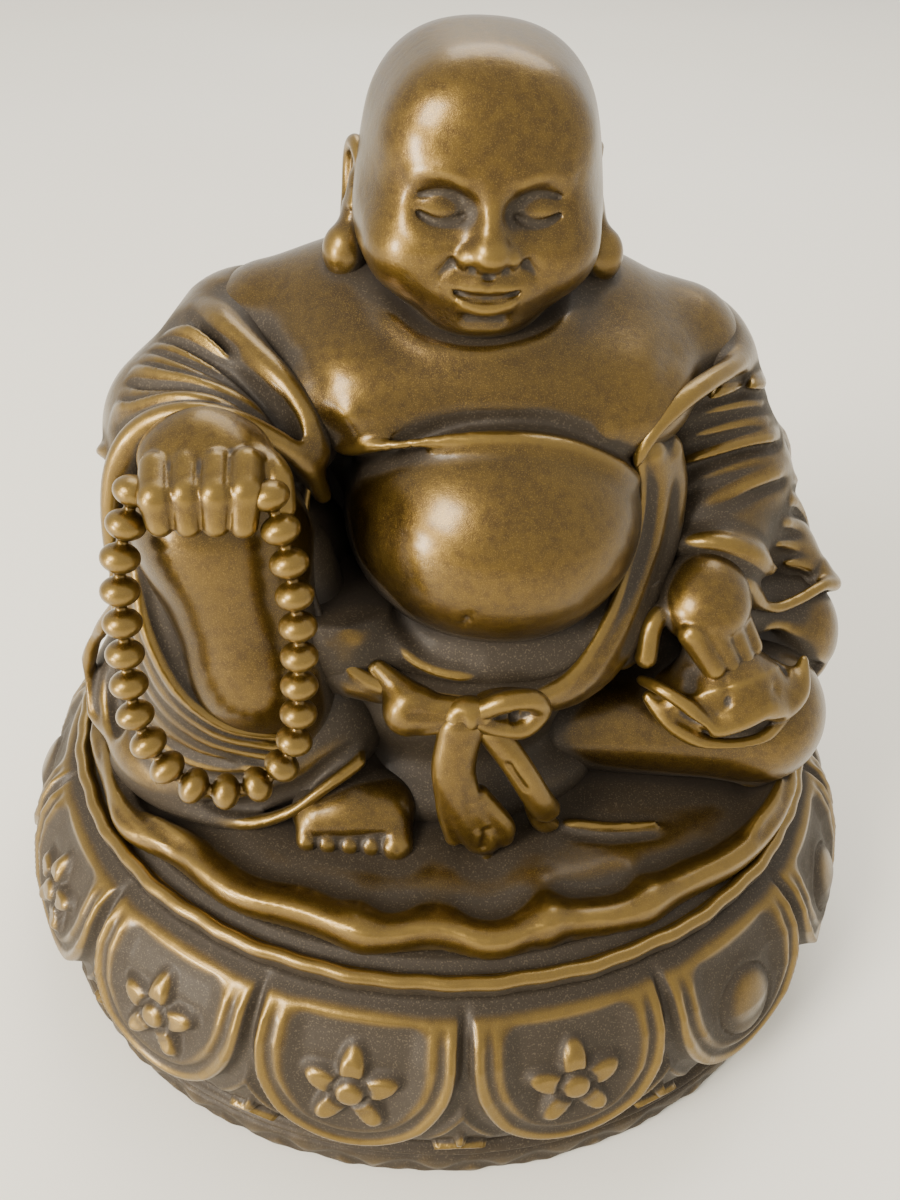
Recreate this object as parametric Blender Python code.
"""Seated laughing monk on an oval lotus pedestal, in antique bronze.

Metres, +Z up, the figure faces -Y. The origin is the middle of the pedestal's underside.
The casting is divided along its sculpted seams: pedestal, seat, robe, limbs, head, beads, sash and sack.
Every form of the figure is an ellipsoid, or a skin wrapped round a few of them, so a limb is two
ellipsoids and a head is three. Its points are in millimetres from the middle of the seat's top.
A piece gives way to every piece that is made before it, with one clearance between them.
"""
import math

import bmesh
import bpy
import numpy as np
from mathutils import Vector

MM = 0.001
CLEARANCE = 0.35 * MM

# Pedestal, as half widths along X. Its outline is an oval: the depth is DEPTH_SHARE of the width.
DEPTH_SHARE = 0.93
RIM_HALF_WIDTH = 50.0 * MM
PETAL_REACH = 6.0 * MM
FOOT_REACH = 5.6 * MM
PEDESTAL_TOP = 28.0 * MM
SEAT_THICKNESS = 3.0 * MM
FOOT_HEIGHT = 5.4 * MM
FOOT_LIFT = 0.4 * MM
WALL = 4.0 * MM
FOOT_LAND = 7.0 * MM
LEDGE = 3.0 * MM
COVER_THICKNESS = 2.0 * MM
PAD_THICKNESS = 1.2 * MM
PETALS = 14
PETAL_BULGE = 1.8 * MM
SIDES_PER_PETAL = 4
OVAL_SIDES = 40
# Outside of the drum, from its foot up: inset from the widest reach, share of the height, fluted or not.
DRUM_OUTLINE = (
    (2.0 * MM, 0.0, False), (1.0 * MM, 0.10, False), (0.0, 0.22, True),
    (0.0, 0.45, True), (1.4 * MM, 0.66, True), (3.6 * MM, 0.86, False),
)
DRUM_LIP = 0.6 * MM
DRUM_KNEE = 0.22
# Outside of the foot ring, from its foot up: inset from its reach, and height above its underside.
FOOT_OUTLINE = (
    (0.7 * MM, 0.0), (0.0, 0.8 * MM), (0.3 * MM, 3.6 * MM), (1.3 * MM, 4.0 * MM), (0.6 * MM, 4.7 * MM),
)
FOOT_TOP_INSET = 1.6 * MM
# Outside of the seat, from its underside up: inset from the rim, and height above its underside.
SEAT_OUTLINE = ((1.0 * MM, 0.0), (0.0, 1.0 * MM))
SEAT_LINE_WIDTH = 1.6 * MM
SEAT_LINE_EDGE = 0.4 * MM
SEAT_GROOVE = 0.6 * MM

# Robe skirt that spreads over the seat.
RIM_BAND = 4.2 * MM
HEM_WAVES = 9
HEM_WAVE = 1.0 * MM
HEM_HEIGHT = 2.2 * MM
SKIRT_HEIGHT = 9.0 * MM
SKIRT_SHOULDER = 0.62

# Head and ears.
CRANIUM = ((0.6, 2.2, 73.0), (11.8, 12.5, 12.0))
JAW = ((0.4, -2.0, 66.4), (12.0, 10.8, 8.8))
NOSE_BRIDGE = ((0.4, -9.5, 73.0), (1.6, 1.8, 2.0))
NOSE_TIP = ((0.4, -11.6, 69.2), (2.2, 1.9, 1.7))
EAR_SPREAD = 12.2
LOBE_SPREAD = 13.8
EAR_TOP = ((3.0, 70.2), (1.8, 3.0, 3.4))
EAR_LOBE = ((1.0, 63.4), (2.4, 2.6, 3.0))

# Bare trunk.
NECK = ((0.5, 3.0, 58.0), (10.0, 9.5, 6.0))
RIGHT_BREAST = ((-9.5, -2.0, 51.5), (13.5, 13.0, 8.6))
LEFT_BREAST = ((14.5, -2.0, 50.0), (13.5, 13.0, 8.6))
RIGHT_SHOULDER = ((-18.5, 5.0, 51.5), (9.5, 9.5, 7.0))
LEFT_SHOULDER = ((23.5, 5.0, 49.5), (9.5, 9.5, 7.0))
BELLY = ((3.0, -9.0, 37.0), (17.0, 18.0, 14.5))

# Arms in their sleeves, and hands.
RIGHT_SLEEVE_TOP = ((-22.5, 7.0, 48.5), (10.5, 11.0, 10.0))
RIGHT_ELBOW = ((-29.5, -2.0, 44.0), (8.5, 10.0, 8.5))
RIGHT_CUFF = ((-28.5, -14.0, 46.5), (8.6, 3.4, 7.0))
RIGHT_DRAPE = ((-37.5, -8.0, 24.0), (4.0, 8.0, 9.0))
RIGHT_PALM = ((-27.5, -20.0, 50.0), (6.6, 5.2, 3.4))
RIGHT_KNUCKLE = (-22.6, -23.6, 49.6)
RIGHT_FINGERTIP = (-22.2, -26.2, 46.0)
FINGER_STEP = -3.1
FINGER_THICKNESS = 1.8
LEFT_SLEEVE_TOP = ((25.5, 7.0, 45.5), (10.5, 11.0, 10.0))
LEFT_ELBOW = ((32.0, 3.0, 33.0), (8.5, 10.0, 9.0))
LEFT_CUFF = ((31.5, -9.0, 30.0), (7.0, 3.4, 7.0))
LEFT_DRAPE_ROOT = ((37.0, 0.0, 28.0), (6.0, 8.0, 8.0))
LEFT_DRAPE = ((46.5, -4.0, 20.5), (3.4, 4.0, 3.4))
LEFT_PALM = ((27.8, -15.5, 28.0), (5.2, 5.0, 3.8))
LEFT_KNUCKLE = (24.6, -19.0, 27.0)
LEFT_FINGERTIP = (26.0, -20.5, 21.6)
LEFT_FINGER_STEP = 2.7
LEFT_THUMB = ((20.6, -18.0, 26.5), (21.4, -20.0, 21.8))
THUMB_THICKNESS = 1.7
WRIST_THICKNESS = 3.8
FINGERS = 4

# Legs and foot.
RIGHT_KNEE = ((-26.5, -17.5, 40.5), (8.2, 8.2, 8.4))
RIGHT_ANKLE = ((-17.5, -19.0, 12.0), (7.4, 7.6, 7.4))
RIGHT_HIP = ((-17.0, 4.0, 20.0), (11.0, 11.0, 10.0))
HEEL = ((-14.0, -17.0, 6.6), (5.4, 5.0, 4.4))
FOOT_BALL = ((-13.0, -26.4, 4.8), (6.4, 3.6, 2.4))
BIG_TOE = (-8.6, -30.4, 4.6)
TOE_STEP = (-2.35, 0.35, -0.1)
TOE_SIZE = (1.35, 2.4, 1.35)
TOES = 5
LEFT_HEEL = ((16.5, -18.0, 7.4), (7.0, 7.4, 6.2))
LEFT_KNEE = ((38.0, -15.5, 8.4), (9.0, 9.6, 8.2))
LEFT_HIP = ((20.0, 4.0, 14.0), (11.0, 11.0, 10.0))

# Cloth sack and its gathered mouth.
SACK_BODY = ((39.5, 5.0, 14.0), (12.0, 15.0, 12.0))
SACK_NECK_ROOT = ((36.0, -4.0, 20.0), (6.0, 6.0, 5.0))
SACK_NECK = ((29.5, -16.0, 22.5), (3.0, 3.0, 3.0))
MOUTH_CENTRE = (31.0, -20.0, 18.2)
MOUTH_SIZE = (8.6, 5.4, 1.5)
RUFFLES = 7
RUFFLE_SIZE = 2.3
RUFFLE_ROOT = 1.0

# Robe: bands, knot and tails of the sash, lap between the legs, and the back.
EDGING_WIDTH = 1.5
EDGING_ROUTE = (
    (-14.0, -11.0, 55.0), (-17.5, -13.5, 45.0), (-17.0, -18.0, 35.0), (-10.0, -24.5, 26.5),
    (2.0, -27.0, 23.4), (13.0, -24.5, 25.5), (19.5, -18.5, 33.0), (21.5, -13.5, 43.0), (20.0, -10.5, 53.0),
)
KNOT = ((-1.0, -28.4, 21.6), (3.0, 2.4, 2.5))
LOOP_ENDS = {"right": (-7.4, -27.2, 22.6), "left": (5.2, -27.6, 22.8)}
LOOP_SIZE = (2.6, 1.8, 2.3)
LOOP_ROOT = 1.4
TAIL_SIZE = (2.0, 1.4, 1.8)
TAIL_ROUTES = {
    "long": ((-1.6, -28.6, 18.0), (0.0, -30.2, 12.0), (2.2, -31.0, 6.4)),
    "short": ((1.8, -28.4, 18.6), (6.0, -29.0, 14.0), (8.6, -28.8, 9.6)),
}
LAP_TOP = ((-1.0, -14.5, 18.0), (14.0, 10.5, 6.0))
LAP_FOOT = ((-1.0, -14.0, 5.0), (18.0, 13.5, 5.0))
BACK_RIGHT_SHOULDER = ((-13.0, 10.0, 46.0), (14.0, 11.0, 11.0))
BACK_LEFT_SHOULDER = ((18.0, 10.0, 44.0), (14.0, 11.0, 11.0))
BACK_RIGHT_HIP = ((-20.0, 8.0, 18.0), (18.0, 20.0, 16.0))
BACK_LEFT_HIP = ((20.0, 8.0, 18.0), (16.0, 20.0, 16.0))
RIGHT_FLANK = ((-36.0, -5.0, 9.5), (8.5, 11.0, 8.0))
SPINE = ((1.5, 15.0, 36.0), (17.0, 13.0, 17.0))
COLLAR = ((0.5, 9.0, 56.0), (12.0, 8.0, 4.0))

# String of prayer beads that hangs from the right hand round the shin.
BEADS = 23
BEAD_LENGTH = 3.8
BEAD_THICKNESS = 3.0
STRING_THICKNESS = 1.3
BEAD_ROUTE = (
    (-34.0, -21.0, 46.6), (-35.6, -25.0, 40.6), (-36.4, -27.0, 32.0), (-36.0, -29.4, 24.4),
    (-32.4, -32.4, 18.0), (-26.4, -34.2, 15.6), (-20.6, -32.8, 18.0), (-18.4, -30.6, 24.0),
    (-18.0, -28.6, 32.0), (-18.2, -26.6, 40.0), (-20.0, -24.2, 47.6),
)

# Fineness of the modelling: grid of the blended skins, and triangles left on a piece.
SKIN_GRID = 0.7 * MM
FINE_GRID = 0.45 * MM
SMOOTHING = 0.5
SMOOTHING_ROUNDS = 3
SMALL_FACES = 120
PLAIN_FACES = 180
DETAILED_FACES = 300
BEAD_FACES = 1100
BALL_DIVISIONS = 3

BRONZE = (0.27, 0.17, 0.055)
DARK_BRONZE = (0.16, 0.11, 0.055)
FIBREBOARD = (0.22, 0.16, 0.10)
FELT = (0.05, 0.06, 0.05)
SMOOTH_ANGLE = 40.0


def clear_scene():
    for thing in list(bpy.data.objects):
        bpy.data.objects.remove(thing, do_unlink=True)


def make_material(name, colour, roughness, metallic):
    material = bpy.data.materials.new(name)
    material.use_nodes = True
    shader = material.node_tree.nodes["Principled BSDF"]
    shader.inputs["Base Color"].default_value = (*colour, 1.0)
    shader.inputs["Roughness"].default_value = roughness
    shader.inputs["Metallic"].default_value = metallic
    material.diffuse_color = (*colour, 1.0)
    return material


def seat_top():
    return PEDESTAL_TOP + CLEARANCE + SEAT_THICKNESS


def on_seat(point):
    """A point of the figure, in metres above the pedestal's underside."""
    return Vector(point) * MM + Vector((0.0, 0.0, seat_top()))


# ---------------------------------------------------------------- meshes

def new_object(name, mesh):
    thing = bpy.data.objects.new(name, mesh)
    bpy.context.scene.collection.objects.link(thing)
    return thing


def bake_modifiers(thing):
    """Replace the object's mesh with the one that its modifiers give."""
    bpy.context.view_layer.update()
    graph = bpy.context.evaluated_depsgraph_get()
    mesh = bpy.data.meshes.new_from_object(thing.evaluated_get(graph))
    thing.modifiers.clear()
    thing.data = mesh


def ellipsoid_points(centre, radii):
    ball = bmesh.new()
    bmesh.ops.create_icosphere(ball, subdivisions=BALL_DIVISIONS, radius=1.0)
    size = Vector(radii) * MM
    middle = on_seat(centre)
    points = [middle + Vector(vert.co[axis] * size[axis] for axis in range(3)) for vert in ball.verts]
    ball.free()
    return points


def wrap(bm, *ellipsoids):
    """Add the tight skin round some ellipsoids as one closed form."""
    points = [point for ellipsoid in ellipsoids for point in ellipsoid_points(*ellipsoid)]
    verts = [bm.verts.new(point) for point in points]
    result = bmesh.ops.convex_hull(bm, input=verts)
    inside = {element for element in result["geom_interior"] if isinstance(element, bmesh.types.BMVert)}
    inside |= {element for element in result["geom_unused"] if isinstance(element, bmesh.types.BMVert)}
    bmesh.ops.delete(bm, geom=list(inside), context="VERTS")


def wrap_along(bm, route, size):
    """Add a run of skins from each point of a route to the next."""
    for start, end in zip(route, route[1:]):
        wrap(bm, (start, size), (end, size))


def thick(radius):
    return (radius, radius, radius)


def blend(name, bm, faces, grid=SKIN_GRID):
    """Turn overlapping closed forms into one smooth closed skin with few triangles."""
    bmesh.ops.recalc_face_normals(bm, faces=bm.faces)
    mesh = bpy.data.meshes.new(name)
    bm.to_mesh(mesh)
    bm.free()
    thing = new_object(name, mesh)
    remesh = thing.modifiers.new("Blend", "REMESH")
    remesh.mode = "VOXEL"
    remesh.voxel_size = grid
    smooth = thing.modifiers.new("Soften", "SMOOTH")
    smooth.factor = SMOOTHING
    smooth.iterations = SMOOTHING_ROUNDS
    bake_modifiers(thing)
    triangles = sum(len(polygon.vertices) - 2 for polygon in thing.data.polygons)
    reduce = thing.modifiers.new("Reduce", "DECIMATE")
    reduce.ratio = min(1.0, faces / triangles)
    bake_modifiers(thing)
    return thing


def bridge(bm, first, second):
    """Join two equal rings of vertices with a band of faces."""
    for index, vert in enumerate(first):
        after = (index + 1) % len(first)
        bm.faces.new((vert, first[after], second[after], second[index]))


def object_from(bm, name):
    bmesh.ops.triangulate(bm, faces=bm.faces)
    mesh = bpy.data.meshes.new(name)
    bm.to_mesh(mesh)
    bm.free()
    return new_object(name, mesh)


def rings_of_verts(bm, rings):
    return [[bm.verts.new(point) for point in ring] for ring in rings]


def loft(name, rings):
    """Close a stack of equal rings of points, capped at its first and last ring."""
    bm = bmesh.new()
    loops = rings_of_verts(bm, rings)
    for lower, upper in zip(loops, loops[1:]):
        bridge(bm, lower, upper)
    bm.faces.new(reversed(loops[0]))
    bm.faces.new(loops[-1])
    return object_from(bm, name)


def oval_ring(half_width, height, sides=OVAL_SIDES, bulge=None):
    """Points of the pedestal's oval at one height; bulge adds a reach that changes round it."""
    ring = []
    for index in range(sides):
        angle = math.tau * index / sides
        reach = half_width + (bulge(angle) if bulge else 0.0)
        ring.append(Vector((reach * math.cos(angle), DEPTH_SHARE * reach * math.sin(angle), height)))
    return ring


def oval_slab(name, half_width, bottom, top):
    return loft(name, [oval_ring(half_width, bottom), oval_ring(half_width, top)])


def cutter_from(thing, growth):
    """A hidden copy of a piece, swollen by a clearance along its normals."""
    cutter = new_object(f"cutter_{thing.name}", thing.data.copy())
    swell = cutter.modifiers.new("Swell", "DISPLACE")
    swell.direction = "NORMAL"
    swell.mid_level = 0.0
    swell.strength = growth
    bake_modifiers(cutter)
    cutter.hide_render = True
    cutter.display_type = "WIRE"
    return cutter


def bounds_of(thing):
    points = np.array([vert.co for vert in thing.data.vertices])
    return points.min(axis=0), points.max(axis=0)


def boxes_meet(first, second):
    low_a, high_a = bounds_of(first)
    low_b, high_b = bounds_of(second)
    return bool(np.all(low_a < high_b + CLEARANCE) and np.all(low_b < high_a + CLEARANCE))


def cut(thing, cutter):
    boolean = thing.modifiers.new("Give way", "BOOLEAN")
    boolean.operation = "DIFFERENCE"
    boolean.solver = "EXACT"
    boolean.use_self = True
    boolean.object = cutter
    bake_modifiers(thing)


def keep_main_body(thing):
    """Drop the crumbs that a cut leaves beside a piece."""
    bm = bmesh.new()
    bm.from_mesh(thing.data)
    waiting = set(bm.verts)
    bodies = []
    while waiting:
        body = set()
        edge_of_body = [waiting.pop()]
        while edge_of_body:
            vert = edge_of_body.pop()
            body.add(vert)
            for edge in vert.link_edges:
                neighbour = edge.other_vert(vert)
                if neighbour in waiting:
                    waiting.remove(neighbour)
                    edge_of_body.append(neighbour)
        bodies.append(body)
    bodies.sort(key=len)
    crumbs = [vert for body in bodies[:-1] for vert in body]
    bmesh.ops.delete(bm, geom=crumbs, context="VERTS")
    bmesh.ops.triangulate(bm, faces=bm.faces)
    bm.to_mesh(thing.data)
    bm.free()


# ---------------------------------------------------------------- pedestal

def petal_bulge(angle):
    """Reach of the lotus petals round the pedestal: full in a petal's middle, none between two."""
    return PETAL_BULGE * abs(math.cos(PETALS * angle / 2.0))


def make_pedestal():
    """Hollow lotus drum, open underneath, with a flat top that carries the seat."""
    sides = PETALS * SIDES_PER_PETAL
    bottom = FOOT_LIFT + FOOT_HEIGHT + CLEARANCE
    height = PEDESTAL_TOP - bottom
    reach = RIM_HALF_WIDTH + PETAL_REACH - PETAL_BULGE
    outside = [
        oval_ring(reach - inset, bottom + share * height, sides, petal_bulge if fluted else None)
        for inset, share, fluted in DRUM_OUTLINE
    ]
    outside.append(oval_ring(RIM_HALF_WIDTH - DRUM_LIP, PEDESTAL_TOP, sides))
    inside = [
        oval_ring(RIM_HALF_WIDTH - WALL, PEDESTAL_TOP - WALL, sides),
        oval_ring(reach - WALL, bottom + DRUM_KNEE * height, sides),
        oval_ring(reach - WALL, bottom, sides),
    ]
    bm = bmesh.new()
    outer = rings_of_verts(bm, outside)
    inner = rings_of_verts(bm, inside)
    for lower, upper in zip(outer, outer[1:]):
        bridge(bm, lower, upper)
    bm.faces.new(outer[-1])
    for upper, lower in zip(inner, inner[1:]):
        bridge(bm, upper, lower)
    bm.faces.new(reversed(inner[0]))
    bridge(bm, inner[-1], outer[0])
    return object_from(bm, "lotus_pedestal")


def make_foot_ring():
    """Narrow moulded band under the petals, with the recess that takes the cover and the pad."""
    outer = RIM_HALF_WIDTH + FOOT_REACH
    inner = outer - FOOT_LAND
    recess = inner + LEDGE
    recess_top = PAD_THICKNESS + COVER_THICKNESS + CLEARANCE
    top = FOOT_LIFT + FOOT_HEIGHT
    profile = [(recess, FOOT_LIFT)]
    profile += [(outer - inset, FOOT_LIFT + rise) for inset, rise in FOOT_OUTLINE]
    profile += [(outer - FOOT_TOP_INSET, top), (inner, top), (inner, recess_top), (recess, recess_top)]
    bm = bmesh.new()
    loops = rings_of_verts(bm, [oval_ring(reach, height) for reach, height in profile])
    for first, second in zip(loops, loops[1:] + loops[:1]):
        bridge(bm, first, second)
    return object_from(bm, "foot_ring")


def recess_half_width():
    return RIM_HALF_WIDTH + FOOT_REACH - FOOT_LAND + LEDGE - CLEARANCE


def make_base_cover():
    bottom = PAD_THICKNESS + CLEARANCE
    return oval_slab("base_cover", recess_half_width(), bottom, bottom + COVER_THICKNESS - CLEARANCE)


def make_felt_pad():
    return oval_slab("felt_pad", recess_half_width(), 0.0, PAD_THICKNESS)


def make_seat():
    """Oval seat with a thin raised line round its edge."""
    bottom = PEDESTAL_TOP + CLEARANCE
    top = seat_top()
    rings = [oval_ring(RIM_HALF_WIDTH - inset, bottom + rise) for inset, rise in SEAT_OUTLINE]
    line = RIM_HALF_WIDTH - SEAT_LINE_WIDTH
    rings += [
        oval_ring(RIM_HALF_WIDTH - SEAT_LINE_EDGE, top), oval_ring(line, top),
        oval_ring(line - SEAT_GROOVE, top - SEAT_GROOVE), oval_ring(RIM_HALF_WIDTH - RIM_BAND, top),
    ]
    return loft("seat", rings)


# ---------------------------------------------------------------- figure

def make_head():
    bm = bmesh.new()
    wrap(bm, CRANIUM, JAW)
    wrap(bm, NOSE_BRIDGE, NOSE_TIP)
    return blend("head", bm, DETAILED_FACES)


def make_ear(side, name):
    (top_y, top_z), top_size = EAR_TOP
    (lobe_y, lobe_z), lobe_size = EAR_LOBE
    middle = CRANIUM[0][0]
    bm = bmesh.new()
    top = ((middle + side * EAR_SPREAD, top_y, top_z), top_size)
    lobe = ((middle + side * LOBE_SPREAD, lobe_y, lobe_z), lobe_size)
    wrap(bm, top, lobe)
    return blend(name, bm, SMALL_FACES, FINE_GRID)


def make_torso():
    bm = bmesh.new()
    wrap(bm, RIGHT_SHOULDER, LEFT_SHOULDER)
    wrap(bm, RIGHT_SHOULDER, RIGHT_BREAST)
    wrap(bm, LEFT_SHOULDER, LEFT_BREAST)
    wrap(bm, NECK, RIGHT_SHOULDER, LEFT_SHOULDER)
    wrap(bm, BELLY)
    return blend("torso", bm, DETAILED_FACES)


def fingers(bm, knuckle, tip, step):
    for index in range(FINGERS):
        shift = Vector((step * index, 0.0, 0.0))
        root = (Vector(knuckle) + shift, thick(FINGER_THICKNESS))
        end = (Vector(tip) + shift, thick(FINGER_THICKNESS))
        wrap(bm, root, end)


def make_right_hand():
    bm = bmesh.new()
    wrap(bm, RIGHT_PALM, (RIGHT_CUFF[0], thick(WRIST_THICKNESS)))
    fingers(bm, RIGHT_KNUCKLE, RIGHT_FINGERTIP, FINGER_STEP)
    return blend("right_hand", bm, DETAILED_FACES, FINE_GRID)


def make_left_hand():
    bm = bmesh.new()
    wrap(bm, LEFT_PALM, (LEFT_CUFF[0], thick(WRIST_THICKNESS)))
    fingers(bm, LEFT_KNUCKLE, LEFT_FINGERTIP, LEFT_FINGER_STEP)
    thumb_root, thumb_tip = LEFT_THUMB
    wrap(bm, (thumb_root, thick(THUMB_THICKNESS)), (thumb_tip, thick(THUMB_THICKNESS)))
    wrap(bm, (thumb_root, thick(THUMB_THICKNESS)), (LEFT_PALM[0], thick(THUMB_THICKNESS)))
    return blend("left_hand", bm, DETAILED_FACES, FINE_GRID)


def make_right_leg():
    bm = bmesh.new()
    wrap(bm, RIGHT_KNEE, RIGHT_ANKLE)
    wrap(bm, RIGHT_KNEE, RIGHT_HIP)
    return blend("right_leg", bm, PLAIN_FACES)


def make_right_foot():
    bm = bmesh.new()
    wrap(bm, HEEL, FOOT_BALL)
    for index in range(TOES):
        toe = Vector(BIG_TOE) + Vector(TOE_STEP) * index
        wrap(bm, (toe, TOE_SIZE))
    return blend("right_foot", bm, DETAILED_FACES, FINE_GRID)


def make_left_leg():
    bm = bmesh.new()
    wrap(bm, LEFT_HEEL, LEFT_KNEE)
    wrap(bm, LEFT_KNEE, LEFT_HIP)
    return blend("left_leg", bm, PLAIN_FACES)


def make_right_sleeve():
    bm = bmesh.new()
    wrap(bm, RIGHT_SLEEVE_TOP, RIGHT_ELBOW)
    wrap(bm, RIGHT_ELBOW, RIGHT_CUFF)
    wrap(bm, RIGHT_ELBOW, RIGHT_DRAPE)
    return blend("right_sleeve", bm, PLAIN_FACES)


def make_left_sleeve():
    bm = bmesh.new()
    wrap(bm, LEFT_SLEEVE_TOP, LEFT_ELBOW)
    wrap(bm, LEFT_ELBOW, LEFT_CUFF)
    wrap(bm, LEFT_DRAPE_ROOT, LEFT_DRAPE)
    return blend("left_sleeve", bm, PLAIN_FACES)


def make_sack():
    bm = bmesh.new()
    wrap(bm, SACK_BODY)
    wrap(bm, SACK_BODY, SACK_NECK_ROOT)
    wrap(bm, SACK_NECK_ROOT, SACK_NECK)
    return blend("sack", bm, PLAIN_FACES)


def make_sack_mouth():
    """Gathered rim of the sack, flaring out below the hand."""
    bm = bmesh.new()
    wrap(bm, SACK_NECK, (MOUTH_CENTRE, MOUTH_SIZE))
    for index in range(RUFFLES):
        angle = math.tau * index / RUFFLES
        reach = Vector((MOUTH_SIZE[0] * math.cos(angle), MOUTH_SIZE[1] * math.sin(angle), 0.0))
        wrap(bm, (Vector(MOUTH_CENTRE) + reach, thick(RUFFLE_SIZE)), (MOUTH_CENTRE, thick(RUFFLE_ROOT)))
    return blend("sack_mouth", bm, DETAILED_FACES, FINE_GRID)


def make_edging():
    bm = bmesh.new()
    wrap_along(bm, EDGING_ROUTE, thick(EDGING_WIDTH))
    return blend("robe_edging", bm, DETAILED_FACES, FINE_GRID)


def make_sash_knot():
    bm = bmesh.new()
    wrap(bm, KNOT)
    return blend("sash_knot", bm, SMALL_FACES, FINE_GRID)


def make_sash_loop(side):
    bm = bmesh.new()
    wrap(bm, (KNOT[0], thick(LOOP_ROOT)), (LOOP_ENDS[side], LOOP_SIZE))
    return blend(f"sash_loop_{side}", bm, SMALL_FACES, FINE_GRID)


def make_sash_tail(length):
    bm = bmesh.new()
    wrap_along(bm, (KNOT[0], *TAIL_ROUTES[length]), TAIL_SIZE)
    return blend(f"sash_tail_{length}", bm, SMALL_FACES, FINE_GRID)


def make_lap():
    bm = bmesh.new()
    wrap(bm, LAP_TOP, LAP_FOOT)
    return blend("robe_lap", bm, PLAIN_FACES)


def hem_wave(angle):
    return HEM_WAVE * math.cos(HEM_WAVES * angle)


def make_skirt():
    """Cloth that spreads over the seat to a wavy hem inside the seat's edge line."""
    hem = RIM_HALF_WIDTH - RIM_BAND - HEM_WAVE
    bottom = seat_top() + CLEARANCE
    rings = [
        oval_ring(hem - HEM_HEIGHT, bottom, bulge=hem_wave),
        oval_ring(hem, bottom + HEM_HEIGHT / 2.0, bulge=hem_wave),
        oval_ring(hem - HEM_HEIGHT / 2.0, bottom + HEM_HEIGHT, bulge=hem_wave),
        oval_ring(SKIRT_SHOULDER * hem, bottom + SKIRT_HEIGHT / 2.0),
        oval_ring(SKIRT_SHOULDER * hem / 2.0, bottom + SKIRT_HEIGHT),
    ]
    return loft("robe_skirt", rings)


def make_back():
    bm = bmesh.new()
    wrap(bm, BACK_RIGHT_SHOULDER, BACK_LEFT_SHOULDER, BACK_RIGHT_HIP, BACK_LEFT_HIP, SPINE)
    wrap(bm, COLLAR, BACK_RIGHT_SHOULDER, BACK_LEFT_SHOULDER)
    wrap(bm, BACK_RIGHT_HIP, RIGHT_FLANK)
    return blend("robe_back", bm, DETAILED_FACES)


def along_loop(points, share):
    """Place on the smooth open curve through some points, share running from 0 to 1."""
    last = len(points) - 1
    place = min(share, 1.0) * last
    index = min(int(place), last - 1)
    part = place - index
    before = Vector(points[max(index - 1, 0)])
    start = Vector(points[index])
    end = Vector(points[index + 1])
    after = Vector(points[min(index + 2, last)])
    bend = 2.0 * start + (end - before) * part
    bend += (2.0 * before - 5.0 * start + 4.0 * end - after) * part ** 2
    bend += (3.0 * start - before - 3.0 * end + after) * part ** 3
    return bend / 2.0


def make_prayer_beads():
    bm = bmesh.new()
    places = [along_loop(BEAD_ROUTE, index / (BEADS - 1)) for index in range(BEADS)]
    wrap_along(bm, places, thick(STRING_THICKNESS / 2.0))
    for place in places:
        wrap(bm, (place, (BEAD_LENGTH / 2.0, BEAD_THICKNESS / 2.0, BEAD_THICKNESS / 2.0)))
    return blend("prayer_beads", bm, BEAD_FACES, FINE_GRID)


# ---------------------------------------------------------------- assembly

def make_figure():
    """The figure's pieces, from those that stay whole to those that give way to all the others."""
    yield make_head()
    yield make_ear(-1.0, "right_ear")
    yield make_ear(1.0, "left_ear")
    yield make_torso()
    yield make_right_hand()
    yield make_left_hand()
    yield make_sash_knot()
    for side in LOOP_ENDS:
        yield make_sash_loop(side)
    for length in TAIL_ROUTES:
        yield make_sash_tail(length)
    yield make_edging()
    yield make_right_foot()
    yield make_right_leg()
    yield make_left_leg()
    yield make_sack_mouth()
    yield make_sack()
    yield make_right_sleeve()
    yield make_left_sleeve()
    yield make_lap()
    yield make_skirt()
    yield make_back()
    yield make_prayer_beads()


def assemble(pieces, floor_piece):
    """Cut each piece by the swollen copies of those before it, and by the seat below."""
    cutters = [cutter_from(floor_piece, CLEARANCE)]
    for piece in pieces:
        swollen = cutter_from(piece, CLEARANCE)
        for cutter in cutters:
            if boxes_meet(piece, cutter):
                cut(piece, cutter)
        keep_main_body(piece)
        cutters.append(swollen)
        yield piece
    for cutter in cutters:
        bpy.data.objects.remove(cutter, do_unlink=True)


def finish(piece, material):
    piece.data.materials.clear()
    piece.data.materials.append(material)
    piece.data.shade_smooth()
    piece.data.set_sharp_from_angle(angle=math.radians(SMOOTH_ANGLE))


def main():
    clear_scene()
    bronze = make_material("antique_bronze", BRONZE, 0.38, 0.85)
    dark_bronze = make_material("dark_bronze", DARK_BRONZE, 0.5, 0.7)
    board = make_material("fibreboard", FIBREBOARD, 0.8, 0.0)
    felt = make_material("felt", FELT, 1.0, 0.0)
    seat = make_seat()
    for piece in assemble(make_figure(), seat):
        finish(piece, bronze)
    for piece in (seat, make_pedestal(), make_foot_ring()):
        finish(piece, dark_bronze)
    finish(make_base_cover(), board)
    finish(make_felt_pad(), felt)


main()
